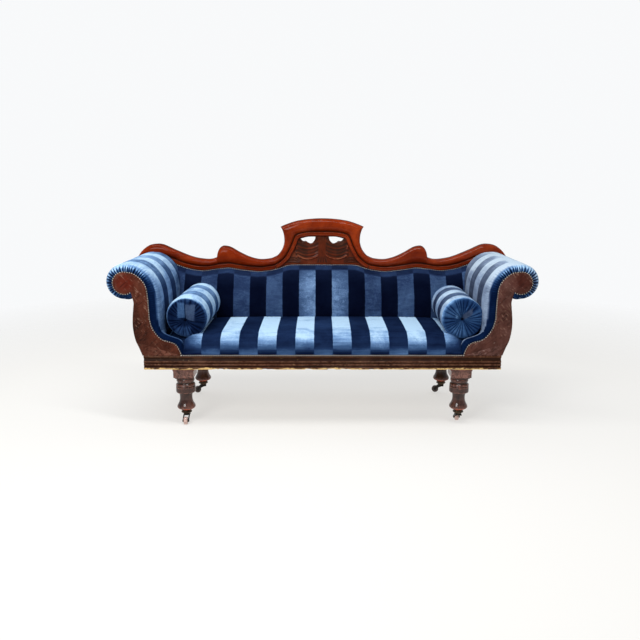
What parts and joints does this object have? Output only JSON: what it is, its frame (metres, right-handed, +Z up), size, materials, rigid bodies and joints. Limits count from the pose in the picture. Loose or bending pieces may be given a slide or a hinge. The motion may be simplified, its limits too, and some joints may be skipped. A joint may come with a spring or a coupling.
{
  "type": "settee",
  "caption": "Scroll-arm settee with a sprung seat, padded back and rolled arms, a shaped crest with a pierced pediment, turned legs on swivelling casters, and a loose bolster at each arm.",
  "frame": {"origin": "on the floor, in the middle of the settee's box", "axes": "+X runs along the seat to its right end as seen from the front, -Y faces the front and +Z is up"},
  "size_m": [2.0786, 0.66, 0.9888],
  "materials": {
    "crest_mahogany": "red mahogany, polished, worn on its edges",
    "dark_mahogany": "dark mahogany, worn polish",
    "frame_wood": "plain sawn hardwood inside the padding",
    "velvet": "blue cotton velvet striped by the lie of its nap",
    "lining": "plain blue cotton outside cover",
    "webbing": "jute webbing",
    "spring_steel": "dull drawn wire",
    "caster_brass": "dark tarnished brass",
    "caster_iron": "dark oiled iron",
    "porcelain": "cream glazed ceramic wheel"
  },
  "bodies": {
    "settee": {"front_seat_rail": "dark_mahogany", "back_seat_rail": "dark_mahogany", "seat_cross_rail": "frame_wood", "back_tack_rail": "frame_wood", "seat_webbing": "webbing", "front_spring_row": "spring_steel", "rear_spring_row": "spring_steel", "crest_left": "crest_mahogany", "crest_right": "crest_mahogany", "crest_pediment": "crest_mahogany", "pierced_panel": "crest_mahogany", "back_upholstery": "velvet", "seat_upholstery": "velvet", "outside_back_cover": "lining", "left_end_rail": "dark_mahogany", "left_arm_facing": "dark_mahogany", "left_rear_arm_scroll": "dark_mahogany", "left_leg_bearer": "frame_wood", "left_front_corner_block": "frame_wood", "left_rear_corner_block": "frame_wood", "left_arm_top_rail": "frame_wood", "left_back_post": "frame_wood", "left_mid_post": "frame_wood", "left_arm_upholstery": "velvet", "left_outside_arm_cover": "lining", "right_end_rail": "dark_mahogany", "right_arm_facing": "dark_mahogany", "right_rear_arm_scroll": "dark_mahogany", "right_leg_bearer": "frame_wood", "right_front_corner_block": "frame_wood", "right_rear_corner_block": "frame_wood", "right_arm_top_rail": "frame_wood", "right_back_post": "frame_wood", "right_mid_post": "frame_wood", "right_arm_upholstery": "velvet", "right_outside_arm_cover": "lining", "front_left_leg": "dark_mahogany", "front_left_caster_cup": "caster_brass", "front_right_leg": "dark_mahogany", "front_right_caster_cup": "caster_brass", "rear_left_leg": "dark_mahogany", "rear_left_caster_cup": "caster_brass", "rear_right_leg": "dark_mahogany", "rear_right_caster_cup": "caster_brass"},
    "front_left_caster": {"front_left_caster_fork": "caster_iron", "front_left_caster_axle": "caster_iron"},
    "front_left_wheel": {"front_left_caster_wheel": "porcelain"},
    "front_right_caster": {"front_right_caster_fork": "caster_iron", "front_right_caster_axle": "caster_iron"},
    "front_right_wheel": {"front_right_caster_wheel": "porcelain"},
    "rear_left_caster": {"rear_left_caster_fork": "caster_iron", "rear_left_caster_axle": "caster_iron"},
    "rear_left_wheel": {"rear_left_caster_wheel": "porcelain"},
    "rear_right_caster": {"rear_right_caster_fork": "caster_iron", "rear_right_caster_axle": "caster_iron"},
    "rear_right_wheel": {"rear_right_caster_wheel": "porcelain"},
    "left_bolster": {"left_bolster": "velvet"},
    "right_bolster": {"right_bolster": "velvet"}
  },
  "joints": [
    {"name": "front_left_swivel", "type": "hinge", "parent": "settee", "child": "front_left_caster", "pos_m": [-0.683, -0.27, 0.045], "axis": [0, 0, 1], "continuous": true},
    {"name": "front_left_wheel_spin", "type": "hinge", "parent": "front_left_caster", "child": "front_left_wheel", "pos_m": [-0.683, -0.302, 0.01903], "axis": [1, 0, 0], "continuous": true},
    {"name": "front_right_swivel", "type": "hinge", "parent": "settee", "child": "front_right_caster", "pos_m": [0.683, -0.27, 0.045], "axis": [0, 0, 1], "continuous": true},
    {"name": "front_right_wheel_spin", "type": "hinge", "parent": "front_right_caster", "child": "front_right_wheel", "pos_m": [0.683, -0.238, 0.01903], "axis": [-1, 0, 0], "continuous": true},
    {"name": "rear_left_swivel", "type": "hinge", "parent": "settee", "child": "rear_left_caster", "pos_m": [-0.683, 0.235, 0.045], "axis": [0, 0, 1], "continuous": true},
    {"name": "rear_left_wheel_spin", "type": "hinge", "parent": "rear_left_caster", "child": "rear_left_wheel", "pos_m": [-0.71451, 0.22944, 0.01903], "axis": [0.1736, -0.9848, 0], "continuous": true},
    {"name": "rear_right_swivel", "type": "hinge", "parent": "settee", "child": "rear_right_caster", "pos_m": [0.683, 0.235, 0.045], "axis": [0, 0, 1], "continuous": true},
    {"name": "rear_right_wheel_spin", "type": "hinge", "parent": "rear_right_caster", "child": "rear_right_wheel", "pos_m": [0.65149, 0.24056, 0.01903], "axis": [-0.1736, -0.9848, 0], "continuous": true},
    {"name": "left_bolster_lift", "type": "slide", "parent": "settee", "child": "left_bolster", "axis": [0, 0, 1], "range_m": [0, 0.25]},
    {"name": "right_bolster_lift", "type": "slide", "parent": "settee", "child": "right_bolster", "axis": [0, 0, 1], "range_m": [0, 0.25]}
  ]
}
